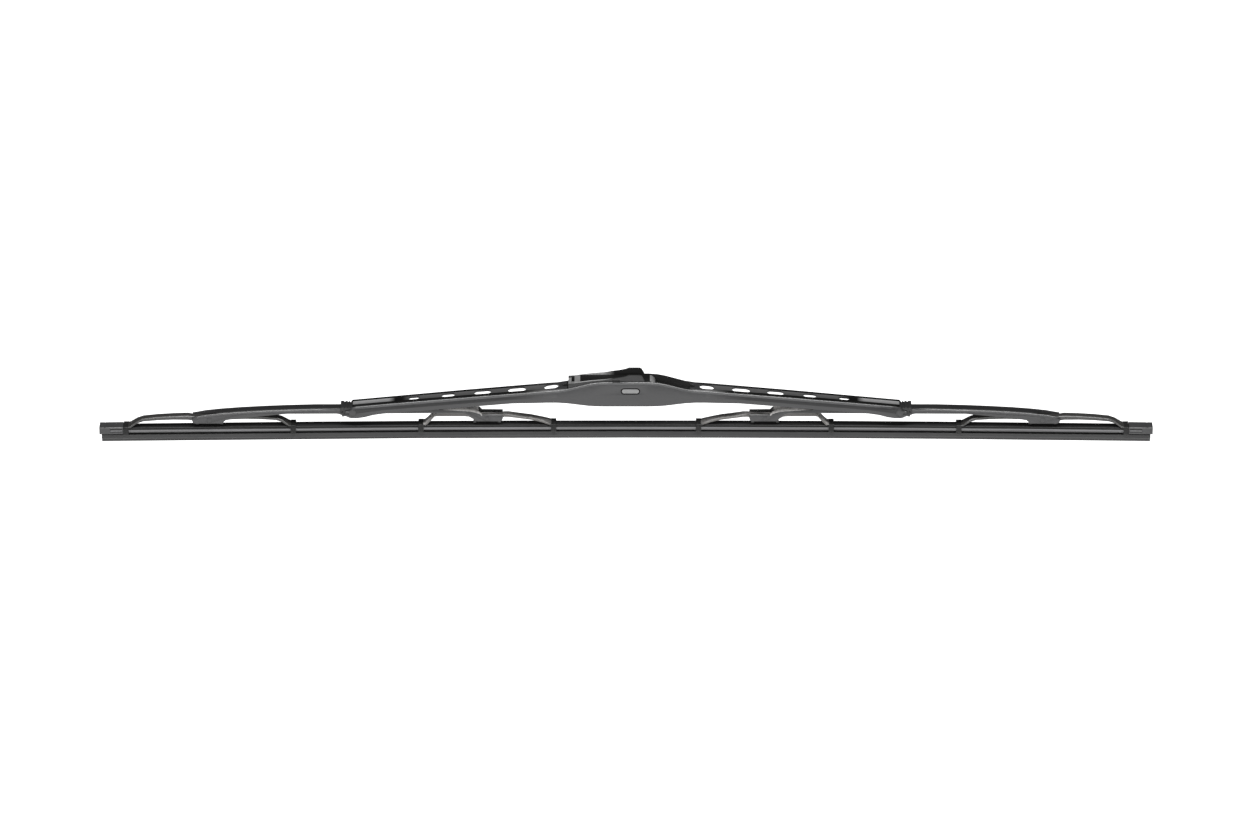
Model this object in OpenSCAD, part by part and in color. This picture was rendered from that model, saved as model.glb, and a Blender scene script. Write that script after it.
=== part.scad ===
// Bracket wiper blade: a slotted bridge carries two levers, each lever two yokes, and the
// yokes' claws hold a rubber element stiffened by two spring-steel rails.
// Origin: middle of the adapter's seat, where the wiper arm's flat end rests. +X along the
// blade, +Z away from the glass. Heights below are above the wiping edge at mid-length.

/* [Layout] */
// Height of the arm's seat above the wiping edge
seat_h = 37.7; // [37:0.1:39]
// How far the outermost claws hang below the middle of the strip
bow = 2.0; // [0.5:0.1:3]
// Distance between the two lever pivots on the bridge
bridge_span = 317; // [312:1:330]
// Lever pivot to the outer yoke's pivot
lever_out = 83; // [76:0.5:86]
// Lever pivot to the inner yoke's pivot
lever_in = 78; // [74:0.5:82]
// Outer yoke's pivot to each of its claws
outer_reach = 48.5; // [45:0.5:53]
// Inner yoke's pivot to each of its claws
inner_reach = 38.5; // [36:0.5:42]

/* [Rubber element] */
// Height from the wiping edge to the top of the head
rubber_h = 9.55; // [9.2:0.05:10.2]
// Width of the head
head_w = 7.1; // [6.7:0.1:7.6]
// Height of the head, from its underside to its top
head_h = 3.05; // [2.9:0.05:3.4]
// Width of the neck that lets the lip flip over
neck_w = 1.6; // [1.2:0.1:2]
// Height of the neck groove
neck_h = 1.5; // [1.4:0.05:1.8]
// Width of the body under the neck
body_w = 5.0; // [4.4:0.1:5.6]
// Width of the wiping edge
lip_w = 0.9; // [0.6:0.05:1.2]

/* [Steel rails] */
// Width of each rail
rail_w = 2.1; // [1.8:0.05:2.4]
// Thickness of each rail
rail_t = 0.9; // [0.8:0.05:1.1]
// Distance from the rails' ends to the rubber's ends
rail_inset = 3; // [1:0.5:6]

/* [Claws and end caps] */
// Length of a claw along the blade
claw_l = 3.0; // [2.6:0.1:4]
// Clearance between a claw and the rubber head
claw_gap = 0.15; // [0.1:0.05:0.25]
// Length of an end cap
cap_l = 13.8; // [11:0.1:17]
// Wall of an end cap
cap_t = 0.55; // [0.5:0.05:0.7]
// Clearance between an end cap and the outermost claw
cap_gap = 0.2; // [0.15:0.05:2]

/* [Primary bridge] */
// Sheet thickness of the bridge
bridge_t = 1.0; // [0.9:0.05:1.1]
// Outside width at the middle
box_w = 14.2; // [13.9:0.1:15]
// Outside width at the ends
bridge_end_w = 11.9; // [11.8:0.05:12.4]
// Height of the box's rim
box_h = 38.3; // [38:0.1:39.5]
// Height of the box's lower edge
box_foot_h = 22.8; // [22:0.1:24]
// Height of the arms beside the box
arm_root_h = 32.8; // [32.4:0.1:33.5]
// Height of the arms' far ends
arm_end_h = 22.2; // [22.1:0.1:22.8]
// Depth of the arms' side walls
arm_depth = 6.2; // [5.6:0.1:6.8]
// Depth of the recess that the slots lie in
recess = 0.5; // [0.3:0.05:0.6]
// Width of the slots next to the box
slot_w = 6.6; // [6:0.1:7]
// Length of the longest slots
slot_l = 10.8; // [9:0.1:11.5]
// Distance from one slot to the next
slot_pitch = 19.9; // [18.5:0.1:20.5]

/* [Levers] */
// Sheet thickness of the levers
lever_t = 0.9; // [0.8:0.05:1]
// Outside width of the levers
lever_w = 8.4; // [8.3:0.05:8.6]
// Height of a lever's back at its pivot
lever_h = 20.0; // [19.6:0.05:20.05]
// Height of a lever's pivot
lever_pivot_h = 18.1; // [17.8:0.05:18.3]

/* [Yokes] */
// Sheet thickness of the yokes and claws
yoke_t = 0.8; // [0.7:0.05:0.9]
// Outside width of a yoke's arms
yoke_w = 5.8; // [5.5:0.1:6]
// Outside width of a yoke at its pivot
yoke_waist = 5.0; // [4.6:0.05:5.1]
// Pivot of an outer yoke, above the strip's top
outer_pivot_rise = 4.6; // [4.4:0.05:4.8]
// Pivot of an inner yoke, above the strip's top
inner_pivot_rise = 4.4; // [4.2:0.05:4.6]

/* [Pivots] */
// Radius of the pin that carries the adapter
pin_r = 2.0; // [1.7:0.05:2.3]
// Radius of the two rivets that carry the levers
lever_rivet_r = 1.5; // [1.3:0.05:1.6]
// Radius of the four rivets that carry the yokes
yoke_rivet_r = 1.0; // [0.9:0.05:1.1]
// Radial clearance of a rivet in its holes
rivet_gap = 0.05; // [0.03:0.01:0.08]
// Side clearance between a liner and the fork around it
liner_gap = 0.12; // [0.08:0.01:0.15]

/* [Arm adapter] */
// Width of the channel that takes the arm's hook
hook_w = 9.4; // [9.1:0.1:9.6]
// Thickness of the core that the hook wraps
core_h = 8; // [7.5:0.1:8.4]
// Pin to the end of the core's round nose
nose_reach = 17; // [15.5:0.5:18]
// Pin to the end of the adapter's tail
tail_reach = 33.4; // [31:0.1:33.5]
// Height of the ears above the seat
ear_h = 4.1; // [3:0.1:4.6]
// Side clearance between the adapter and the bridge
adapter_gap = 0.3; // [0.2:0.05:0.4]

/* [Hidden] */
$fn = 24;

steel_black = [0.09, 0.09, 0.095];
plastic_black = [0.04, 0.04, 0.045];
rubber_black = [0.07, 0.07, 0.075];
rail_steel = [0.45, 0.45, 0.46];

// Places along the blade
pivot_x = bridge_span / 2;
outer_x = pivot_x + lever_out;
inner_x = pivot_x - lever_in;
claw_x = outer_x + outer_reach;
cap_x = claw_x + claw_l / 2 + cap_gap;
cap_end_t = 1.1;
rubber_x = cap_x + cap_l - cap_end_t - 0.1;

// Heights turned into Z, and the strip's height along its bow
function up(h) = h - seat_h;
function drop(x) = bow * pow(x / claw_x, 2);
function strip_top(x) = rubber_h - drop(x);
outer_pivot_h = strip_top(outer_x) + outer_pivot_rise;
inner_pivot_h = strip_top(inner_x) + inner_pivot_rise;
pin_h = seat_h - core_h / 2;

// Small helpers
eps = 0.01;
function reversed(list) = [for (i = [len(list) - 1 : -1 : 0]) list[i]];
function ease(a, b, u) = a + (b - a) * (1 - cos(180 * max(0, min(1, u)))) / 2;

// A closed solid through rings of points that match one to one. Point j of a ring lies across
// the section from the last but j, so that the ends close with a ladder of short faces.
module loft(rings) {
  n = len(rings[0]);
  last = (len(rings) - 1) * n;
  sides = [for (i = [0 : len(rings) - 2], j = [0 : n - 1]) let (k = (j + 1) % n)
    each [[i * n + j, i * n + k, (i + 1) * n + k], [i * n + j, (i + 1) * n + k, (i + 1) * n + j]]];
  start = [for (j = [0 : n / 2 - 2]) each [[n - 1 - j, n - 2 - j, j + 1], [n - 1 - j, j + 1, j]]];
  finish = [for (t = start) [for (k = [2 : -1 : 0]) last + t[k]]];
  polyhedron([for (ring = rings) each ring], concat(start, sides, finish), convexity = 8);
}

// Section of folded sheet, open below: its outside from one foot to the other, then the inside.
// A flare above zero gives each wall a crease, below which it stands out by the flare.
// A sink is the depth and the half width of a recess along the back.
fold_step = 45;
crease = 0.52;
function wall(w, top, foot, r, flare, sink, inset) = concat([[w / 2 - inset + flare, foot]],
  flare > 0 ? [[w / 2 - inset, foot + (top - r - foot) * crease]] : [],
  [for (a = [0 : fold_step : 90]) [w / 2 - r + (r - inset) * cos(a), top - r + (r - inset) * sin(a)]],
  len(sink) == 2 ? [[sink[1] + 0.25, top - inset], [sink[1] - 0.25, top - inset - sink[0]]] : []);
function channel(x, top, foot, w, t, r, flare = 0, sink = []) =
  let (outside = wall(w, top, foot, r, flare, sink, 0), inside = wall(w, top, foot, r, flare, sink, t))
  concat([for (p = outside) [x, -p[0], up(p[1])]], [for (p = reversed(outside)) [x, p[0], up(p[1])]],
         [for (p = inside) [x, p[0], up(p[1])]], [for (p = reversed(inside)) [x, -p[0], up(p[1])]]);

// Round-ended slot in plan, cut straight down
module slot(l, w, depth) {
  linear_extrude(depth) {
    square([l - w, w], center = true);
    for (side = [-1, 1]) translate([side * (l - w) / 2, 0]) circle(d = w);
  }
}

// Hole or shank across the blade at a place along it
module across(x, h, r, l) {
  translate([x, l / 2, up(h)]) rotate([90, 0, 0]) cylinder(h = l, r = r);
}

// Flush rivet: a plain shank with countersunk ends, or the hole that takes it
countersink = 0.55;
module rivet(x, h, r, l, grow = 0) {
  translate([x, 0, up(h)]) rotate([90, 0, 0]) rotate_extrude()
    polygon([[0, -l / 2 - grow], [r + countersink + grow, -l / 2 - grow],
             [r + countersink + grow, -l / 2 + 0.2], [r + grow, -l / 2 + 0.2 + countersink],
             [r + grow, l / 2 - 0.2 - countersink], [r + countersink + grow, l / 2 - 0.2],
             [r + countersink + grow, l / 2 + grow], [0, l / 2 + grow]]);
}

// Primary bridge
box_flat = 13;
box_foot_flat = 14;
arm_root_x = 43;
web_end_x = pivot_x - 0.2;
bridge_end_x = pivot_x + 4.2;
straight_x = pivot_x - 18;
opening_l = [-37, 40];
bridge_fold_r = 2.0;
bridge_flare = [0.05, 0.45];

function bridge_top(x) =
  let (u = (x - arm_root_x) / (web_end_x - arm_root_x))
  x < arm_root_x ? ease(box_h, arm_root_h, (x - box_flat) / (arm_root_x - box_flat))
  : x < web_end_x + 0.3 ? arm_root_h - (arm_root_h - arm_end_h) * (0.92 * u + 0.08 * u * u)
  : ease(arm_end_h, ear_top_h, (x - web_end_x - 0.3) / 1.4) - max(0, x - web_end_x - 2.2) * 0.3;
ear_top_h = 20.2;
function bridge_foot(x) =
  x < arm_root_x ? ease(box_foot_h, arm_root_h - 7.7, (x - box_foot_flat) / (arm_root_x - box_foot_flat))
  : x < 66 ? ease(arm_root_h - 7.7, bridge_top(66) - arm_depth, (x - arm_root_x) / (66 - arm_root_x))
  : x < straight_x ? bridge_top(x) - arm_depth
  : bridge_ear_foot(x);
ear_r = 3.3;
function bridge_ear_foot(x) =
  x < pivot_x ? ease(bridge_top(straight_x) - arm_depth, lever_pivot_h - ear_r, (x - straight_x) / (pivot_x - straight_x - 2))
              : lever_pivot_h - sqrt(max(0.1, ear_r * ear_r - pow(x - pivot_x, 2) * 0.5));
function bridge_w(x) =
  x < box_side_flat ? box_w
  : x < arm_root_x ? ease(box_w, arm_root_w, (x - box_side_flat) / (34 - box_side_flat))
  : x < straight_x ? arm_root_w - (arm_root_w - bridge_end_w) * (x - arm_root_x) / (straight_x - arm_root_x)
  : bridge_end_w;
box_side_flat = 22;
arm_root_w = box_w - 0.7;
function bridge_sink(x) = [ease(0, recess, (x - arm_root_x + 3) / 6), bridge_w(x) / 2 - 3.1];
function bridge_flare_at(x) =
  x < 60 ? ease(bridge_flare[0], bridge_flare[1], (x - 30) / 30)
         : ease(bridge_flare[1], bridge_flare[0], (x - straight_x + 20) / 20);
bridge_right = [0, box_flat, 18, 22.5, 28, 34, 40, arm_root_x + 3, 54, 66, 95, straight_x - 20,
                straight_x - 8, straight_x, straight_x + 6, straight_x + 11, pivot_x - 3, web_end_x + 0.3,
                web_end_x + 1, web_end_x + 1.7, pivot_x + 3.4, bridge_end_x];
bridge_stations = concat([for (x = reversed(bridge_right)) if (x > 0) -x], bridge_right);

module primary_bridge() {
  color(steel_black) difference() {
    loft([for (x = bridge_stations) let (d = abs(x))
      channel(x, bridge_top(d), bridge_foot(d), bridge_w(d), bridge_t, bridge_fold_r, bridge_flare_at(d),
              bridge_sink(d))]);
    bridge_opening();
    for (side = [-1, 1], i = [0 : 4]) {
      bridge_slot(side, i);
      bridge_window(side, i);
    }
    for (side = [-1, 1]) oval_groove(side);
    for (side = [-1, 1]) {
      // fork over the lever's liner
      translate([side * (web_end_x + 10), 0, up(arm_end_h)])
        cube([20, bridge_end_w - 2 * bridge_t + 0.1, 9], center = true);
      rivet(side * pivot_x, lever_pivot_h, lever_rivet_r, bridge_end_w, rivet_gap);
    }
    // blind seats for the adapter's pin
    across(0, pin_h, pin_r + rivet_gap, pin_l + 0.1);
    // relief in the rim beside the ear
    translate([-5.8, -box_w / 2, up(box_h)]) cube([4.6, 4, 1.4], center = true);
  }
}
pin_seat = 0.5;
pin_l = box_w - 2 * bridge_t + 2 * pin_seat;

// Opening in the bridge's back for the arm's hook, as wide as the inside
module bridge_opening() {
  l = opening_l[1] - opening_l[0];
  translate([(opening_l[0] + opening_l[1]) / 2, 0, up(arm_root_h) - 4]) {
    slot(l, 6, 20);
    linear_extrude(20) square([l - 6, box_w - 2 * bridge_t + 0.1], center = true);
  }
}

// Oval panel around the pin's seat, marked off by a groove and left bare
oval_l = 11.2;
oval_w = 3.9;
oval_x = 2.5;
oval_ring = 0.65;
oval_depth = 0.35;
module oval_groove(side) {
  translate([oval_x, side * box_w / 2, up(pin_h) - 1.4]) rotate([side * 90, 0, 0])
    translate([0, 0, -1]) difference() {
      slot(oval_l, oval_w, 1 + oval_depth);
      translate([0, 0, -1]) slot(oval_l - 2 * oval_ring, oval_w - 2 * oval_ring, 4);
    }
}

// Slots along an arm, smaller towards its end. Behind each one a window in the rear wall lets the
// wind through. The slots sit a little to the right, as the opening for the hook does.
slot_lengths = [0.8, 1, 0.93, 0.74, 0.6] * slot_l;
slot_widths = [1, 0.95, 0.83, 0.7, 0.58] * slot_w;
slot_first = 45;
slot_shift = 1.7;
window_drop = 3.1;
window_w = 3.5;
function slot_x(side, i) = side * (slot_first + i * slot_pitch) + slot_shift;
function arm_slope(x) = atan((bridge_top(abs(x) - 1) - bridge_top(abs(x) + 1)) / 2) * sign(x);
module bridge_slot(side, i) {
  x = slot_x(side, i);
  translate([x, 0, up(bridge_top(abs(x))) - 4]) slot(slot_lengths[i], slot_widths[i], 8);
}
module bridge_window(side, i) {
  x = slot_x(side, i);
  translate([x, bridge_w(abs(x)) / 2 + 1.5, up(bridge_top(abs(x))) - window_drop])
    rotate([90, arm_slope(x), 0]) slot(slot_lengths[i] + 1.2, window_w, 3.2);
}

// Levers, drawn on the right and mirrored for the left
lever_fold_r = 1.6;
fork_in = 9;
fork_out = 10;
lobe_half = 7.8;
// Back of a lever against distance from its pivot, as heights above its back at the pivot
lever_back = [[-lever_in - fork_in, -3.2], [-lever_in - 3, -3.2], [-lever_in + 3, -3.1], [-lever_in + 4.4, -1.6],
              [-lever_in + 8, -0.4], [-lever_in + 16, 0.4], [-50, 0.9], [-35, 1.0], [-20, 0.6], [-8, 0],
              [8, 0], [22, -0.05], [38, -0.5], [50, -1.0], [lever_out - 18.5, -1.8], [lever_out - 6, -2.8],
              [lever_out + 2.5, -3.8], [lever_out + 6.5, -4.6], [lever_out + fork_out, -5.2]];
lever_lobe_r = 2.7;
inner_foot_h = inner_pivot_h - 1.75;
outer_foot_h = outer_pivot_h - 2.1;
lever_foot = [[-lever_in - fork_in, inner_foot_h + 1.4], [-lever_in - fork_in + 0.6, inner_foot_h + 0.4],
              [-lever_in - fork_in + 1.6, inner_foot_h], [-lever_in + lobe_half - 2, inner_foot_h],
              [-lever_in + lobe_half - 0.6, inner_foot_h + 0.5], [-lever_in + lobe_half + 1, inner_foot_h + 2.6],
              [-lever_in + lobe_half + 5, lever_h - 2.6], [-20, lever_h - 2.9], [-9, lever_h - 3.0],
              [-4, lever_pivot_h - lever_lobe_r + 0.4], [0, lever_pivot_h - lever_lobe_r],
              [4, lever_pivot_h - lever_lobe_r + 0.4], [9, lever_h - 3.1], [38, lever_h - 3.2],
              [50, lever_h - 4.4], [lever_out - 18.5, lever_h - 5.9], [lever_out - lobe_half - 2, outer_foot_h + 2.4],
              [lever_out - lobe_half, outer_foot_h + 0.5], [lever_out - lobe_half + 1.2, outer_foot_h],
              [lever_out + fork_out - 1.6, outer_foot_h], [lever_out + fork_out - 0.5, outer_foot_h + 0.5],
              [lever_out + fork_out, outer_foot_h + 1.6]];
lever_stations = [-lever_in - fork_in, -lever_in - fork_in + 0.6, -lever_in - fork_in + 1.6, -lever_in + 3,
                  -lever_in + 4.4, -lever_in + lobe_half - 2, -lever_in + lobe_half - 0.6,
                  -lever_in + lobe_half + 1, -lever_in + lobe_half + 5, -50, -35, -20, -9, -4, 0, 4, 9, 22, 38,
                  50, lever_out - 18.5, lever_out - lobe_half - 2, lever_out - lobe_half,
                  lever_out - lobe_half + 1.2, lever_out + 2.5, lever_out + 6.5,
                  lever_out + fork_out - 1.6, lever_out + fork_out - 0.5, lever_out + fork_out];
module lever() {
  difference() {
    loft([for (s = lever_stations) channel(pivot_x + s, lever_h + lookup(s, lever_back),
      lookup(s, lever_foot), lever_w, lever_t, lever_fold_r)]);
    // forks: no back between the walls at either end
    translate([inner_x - 20 + 5.4, 0, up(lever_h)]) cube([39.2, lever_w - 2 * lever_t + 0.1, 12], center = true);
    translate([outer_x + 20 - 3, 0, up(lever_h - 3)]) cube([40, lever_w - 2 * lever_t + 0.1, 12], center = true);
    across(pivot_x, lever_pivot_h, lever_rivet_r + rivet_gap, lever_w + 1);
    rivet(inner_x, inner_pivot_h, yoke_rivet_r, lever_w, rivet_gap);
    rivet(outer_x, outer_pivot_h, yoke_rivet_r, lever_w, rivet_gap);
  }
}
module lever_left() color(steel_black) mirror([1, 0, 0]) lever();
module lever_right() color(steel_black) lever();

// Liners over the levers at the bridge's ends, with a collar that shows past the fork
liner_outer_w = bridge_end_w - 2 * bridge_t - 2 * liner_gap;
liner_l = [-5.4, 4.9];
collar_l = 2.0;
liner_top_t = 0.4;
module lever_liner() {
  inside_w = lever_w + 2 * 0.04;
  difference() {
    union() {
      translate([pivot_x + liner_l[0], -liner_outer_w / 2, up(lever_pivot_h - 2.5)])
        cube([liner_l[1] - liner_l[0], liner_outer_w, lever_h + liner_top_t - lever_pivot_h + 2.5]);
      translate([pivot_x + liner_l[1] - eps, -liner_outer_w / 2 - 0.3, up(lever_pivot_h - 2.6)])
        cube([collar_l, liner_outer_w + 0.6, lever_h + 1.1 - lever_pivot_h + 2.6]);
      // ridge that shows over the fork's ears
      translate([pivot_x + 1.6, -liner_outer_w / 2, up(lever_h)]) cube([liner_l[1] - 1.6, liner_outer_w, 1.1]);
    }
    translate([pivot_x - 20, -inside_w / 2, up(lever_pivot_h - 6)])
      cube([60, inside_w, lever_h + 0.05 - lever_pivot_h + 6]);
    across(pivot_x, lever_pivot_h, lever_rivet_r + rivet_gap, liner_outer_w + 2);
    // notches moulded into the ridge and the collar
    for (at = [2.6, 4.6]) translate([pivot_x + at, 0, up(lever_h + 1.1)]) cube([0.8, liner_outer_w + 2, 1], center = true);
    translate([pivot_x + liner_l[1] + collar_l / 2, 0, up(lever_pivot_h + 0.4)])
      cube([0.8, liner_outer_w + 2, 1.2], center = true);
    for (side = [-1, 1])
      translate([pivot_x + liner_l[1] + collar_l, side * liner_outer_w / 2, up(lever_pivot_h - 2.2)])
        cube([1.6, 1.6, 1.2], center = true);
  }
}
module lever_liner_left() color(plastic_black) mirror([1, 0, 0]) lever_liner();
module lever_liner_right() color(plastic_black) lever_liner();

module lever_rivet_left() color(steel_black) rivet(-pivot_x, lever_pivot_h, lever_rivet_r, bridge_end_w - 0.02);
module lever_rivet_right() color(steel_black) rivet(pivot_x, lever_pivot_h, lever_rivet_r, bridge_end_w - 0.02);

// Claw: folded round the rubber's head, its lips in the neck groove
claw_w = head_w + 2 * (claw_gap + yoke_t);
claw_top = claw_gap + yoke_t;
module claw(x) {
  foot = -head_h - claw_gap - yoke_t;
  in_w = head_w / 2 + claw_gap;
  lip = neck_w / 2 + 0.75;
  round = 0.6;
  translate([x - claw_l / 2, 0, up(strip_top(x))]) rotate([90, 0, 90]) linear_extrude(claw_l) difference() {
    polygon(concat([for (a = [0 : 30 : 90]) [claw_w / 2 - round + round * cos(a), claw_top - round + round * sin(a)]],
      [for (a = [90 : 30 : 180]) [-claw_w / 2 + round + round * cos(a), claw_top - round + round * sin(a)]],
      [for (a = [180 : 30 : 270]) [-claw_w / 2 + round + round * cos(a), foot + round + round * sin(a)]],
      [for (a = [270 : 30 : 360]) [claw_w / 2 - round + round * cos(a), foot + round + round * sin(a)]]));
    polygon([[-in_w, -head_h - claw_gap], [-lip, -head_h - claw_gap], [-lip, foot - 1], [lip, foot - 1],
             [lip, -head_h - claw_gap], [in_w, -head_h - claw_gap], [in_w, claw_gap], [-in_w, claw_gap]]);
  }
}

// Yokes. Each table row: distance from the pivot, back above the strip, wall depth, width
yoke_fold_r = 1.0;
waist_half = 9.2;
outer_arm = [[0, 6.2, 3.6, yoke_waist], [6.4, 6.2, 3.6, yoke_waist], [8.2, 6.25, 3.0, yoke_waist],
             [waist_half, 6.4, 2.7, yoke_waist], [12.5, 6.9, 2.5, yoke_w], [21, 6.75, 2.15, yoke_w],
             [30, 6.3, 1.95, yoke_w], [outer_reach - 10, 5.5, 1.8, yoke_w],
             [outer_reach - 6.5, 4.2, 1.6, yoke_w + 0.4], [outer_reach - 3.4, 2.1, 1.5, claw_w - 1.4],
             [outer_reach - 2.5, claw_top + 0.3, 1.2, claw_w - 0.1], [outer_reach - 1.2, claw_top - 0.05, 1.4, claw_w - 0.1]];
inner_far = [[0, 6.1, 3.5, yoke_waist], [6.4, 6.1, 3.5, yoke_waist], [8.2, 6.7, 3.2, yoke_waist],
             [10.5, 8.0, 3.1, yoke_waist + 0.2], [13, 8.1, 2.8, yoke_w], [inner_reach - 9.4, 7.9, 2.5, yoke_w],
             [inner_reach - 8, 7.4, 2.2, yoke_w], [inner_reach - 3.6, 2.5, 1.9, claw_w - 1.4],
             [inner_reach - 2.5, claw_top + 0.3, 1.2, claw_w - 0.1], [inner_reach - 1.2, claw_top - 0.05, 1.4, claw_w - 0.1]];
inner_near = [[0, 6.1, 3.5, yoke_waist], [6.4, 6.1, 3.5, yoke_waist], [8.2, 6.3, 2.6, yoke_waist],
              [waist_half + 0.6, 6.6, 1.9, yoke_waist], [12.5, 6.4, 1.6, yoke_w], [19, 5.4, 1.5, yoke_w],
              [inner_reach - 13, 4.5, 1.5, yoke_w], [inner_reach - 7, 3.1, 1.5, yoke_w + 0.4],
              [inner_reach - 3.4, 1.9, 1.45, claw_w - 1.4], [inner_reach - 2.4, claw_top + 0.35, 1.12, claw_w],
              [inner_reach - 1.4, claw_top, 1.4, claw_w]];
function yoke_ring(x, row) = let (top = strip_top(x) + row[1])
  channel(x, top, top - row[2], row[3], yoke_t, yoke_fold_r);
// A yoke on the right: far is its arm away from the middle of the blade, near the other arm
module yoke(at, far, near, reach, pivot_h) {
  difference() {
    union() {
      loft(concat([for (row = reversed(near)) if (row[0] > 0) yoke_ring(at - row[0], row)],
                  [for (row = far) yoke_ring(at + row[0], row)]));
      for (side = [-1, 1]) claw(at + side * reach);
    }
    across(at, pivot_h, yoke_rivet_r + rivet_gap, yoke_waist + 1);
  }
}
module outer_yoke() yoke(outer_x, outer_arm, outer_arm, outer_reach, outer_pivot_h);
module inner_yoke() yoke(inner_x, inner_far, inner_near, inner_reach, inner_pivot_h);
module yoke_outer_left() color(steel_black) mirror([1, 0, 0]) outer_yoke();
module yoke_inner_left() color(steel_black) mirror([1, 0, 0]) inner_yoke();
module yoke_inner_right() color(steel_black) inner_yoke();
module yoke_outer_right() color(steel_black) outer_yoke();

// Liners over the yokes' waists: two cheeks with small feet, and a strap over the back
yoke_liner_w = lever_w - 2 * lever_t - 2 * liner_gap;
cheek_half = 8.0;
module yoke_liner(x, h, back_h, strap_side) {
  inside_w = yoke_waist + 0.08;
  strap_l = 2.6;
  for (side = [-1, 1]) difference() {
    union() {
      translate([x - cheek_half, side > 0 ? inside_w / 2 : -yoke_liner_w / 2, up(h - 1.6)])
        cube([2 * cheek_half, (yoke_liner_w - inside_w) / 2, back_h + 0.35 - h + 1.6]);
      for (end = [-1, 1])
        translate([x + end * (cheek_half - 0.8) - 0.8, side > 0 ? inside_w / 2 : -yoke_liner_w / 2, up(h - 2.9)])
          cube([1.6, (yoke_liner_w - inside_w) / 2, 2]);
    }
    across(x, h, yoke_rivet_r + rivet_gap, yoke_liner_w + 2);
  }
  translate([x + strap_side * 4.6 - strap_l / 2, -yoke_liner_w / 2, up(back_h + 0.05)])
    cube([strap_l, yoke_liner_w, 0.5]);
}
outer_back_h = strip_top(outer_x) + outer_arm[0][1];
inner_back_h = strip_top(inner_x) + inner_far[0][1];
module yoke_liner_outer_left() color(plastic_black) mirror([1, 0, 0]) yoke_liner(outer_x, outer_pivot_h, outer_back_h, -1);
module yoke_liner_inner_left() color(plastic_black) mirror([1, 0, 0]) yoke_liner(inner_x, inner_pivot_h, inner_back_h, 1);
module yoke_liner_inner_right() color(plastic_black) yoke_liner(inner_x, inner_pivot_h, inner_back_h, 1);
module yoke_liner_outer_right() color(plastic_black) yoke_liner(outer_x, outer_pivot_h, outer_back_h, -1);

module yoke_rivet_outer_left() color(steel_black) rivet(-outer_x, outer_pivot_h, yoke_rivet_r, lever_w - 0.02);
module yoke_rivet_inner_left() color(steel_black) rivet(-inner_x, inner_pivot_h, yoke_rivet_r, lever_w - 0.02);
module yoke_rivet_inner_right() color(steel_black) rivet(inner_x, inner_pivot_h, yoke_rivet_r, lever_w - 0.02);
module yoke_rivet_outer_right() color(steel_black) rivet(outer_x, outer_pivot_h, yoke_rivet_r, lever_w - 0.02);

// Rubber element, one section all along, following the bow
head_foot_h = rubber_h - head_h;
body_top_h = head_foot_h - neck_h;
rail_h = head_foot_h + 0.75;
rail_gap = 0.05;
groove_y = head_w / 2 - rail_w - rail_gap;
rubber_half = [[lip_w / 2, 0], [lip_w / 2 + 0.1, 1.2], [1.3, 2.1], [1.4, 2.45], [body_w / 2 - 0.25, 2.55],
               [body_w / 2, 2.8], [body_w / 2, body_top_h - 0.25], [body_w / 2 - 0.25, body_top_h],
               [neck_w / 2, body_top_h + 0.1], [neck_w / 2, head_foot_h], [head_w / 2 - 0.25, head_foot_h + 0.05],
               [head_w / 2, head_foot_h + 0.25], [head_w / 2, rail_h - rail_gap - 0.03],
               [groove_y, rail_h - rail_gap], [groove_y, rail_h + rail_t + rail_gap],
               [head_w / 2, rail_h + rail_t + rail_gap + 0.03],
               [head_w / 2, rubber_h - 0.4], [head_w / 2 - 0.4, rubber_h]];
strip_steps = 10;
function strip_stations(end) = [for (i = [0 : strip_steps]) end * (2 * i / strip_steps - 1)];
module rubber_element() {
  color(rubber_black) loft([for (x = strip_stations(rubber_x))
    concat([for (p = rubber_half) [x, -p[0], up(p[1] - drop(x))]],
           [for (p = reversed(rubber_half)) [x, p[0], up(p[1] - drop(x))]])]);
}

module rail(side) {
  near = side * (head_w / 2 - rail_w);
  far = side * head_w / 2;
  low = min(near, far);
  high = max(near, far);
  loft([for (x = strip_stations(rubber_x - rail_inset)) let (z = up(rail_h - drop(x)))
    [[x, low, z], [x, low, z + rail_t], [x, high, z + rail_t], [x, high, z]]]);
}
module rail_front() color(rail_steel) rail(-1);
module rail_rear() color(rail_steel) rail(1);

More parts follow.
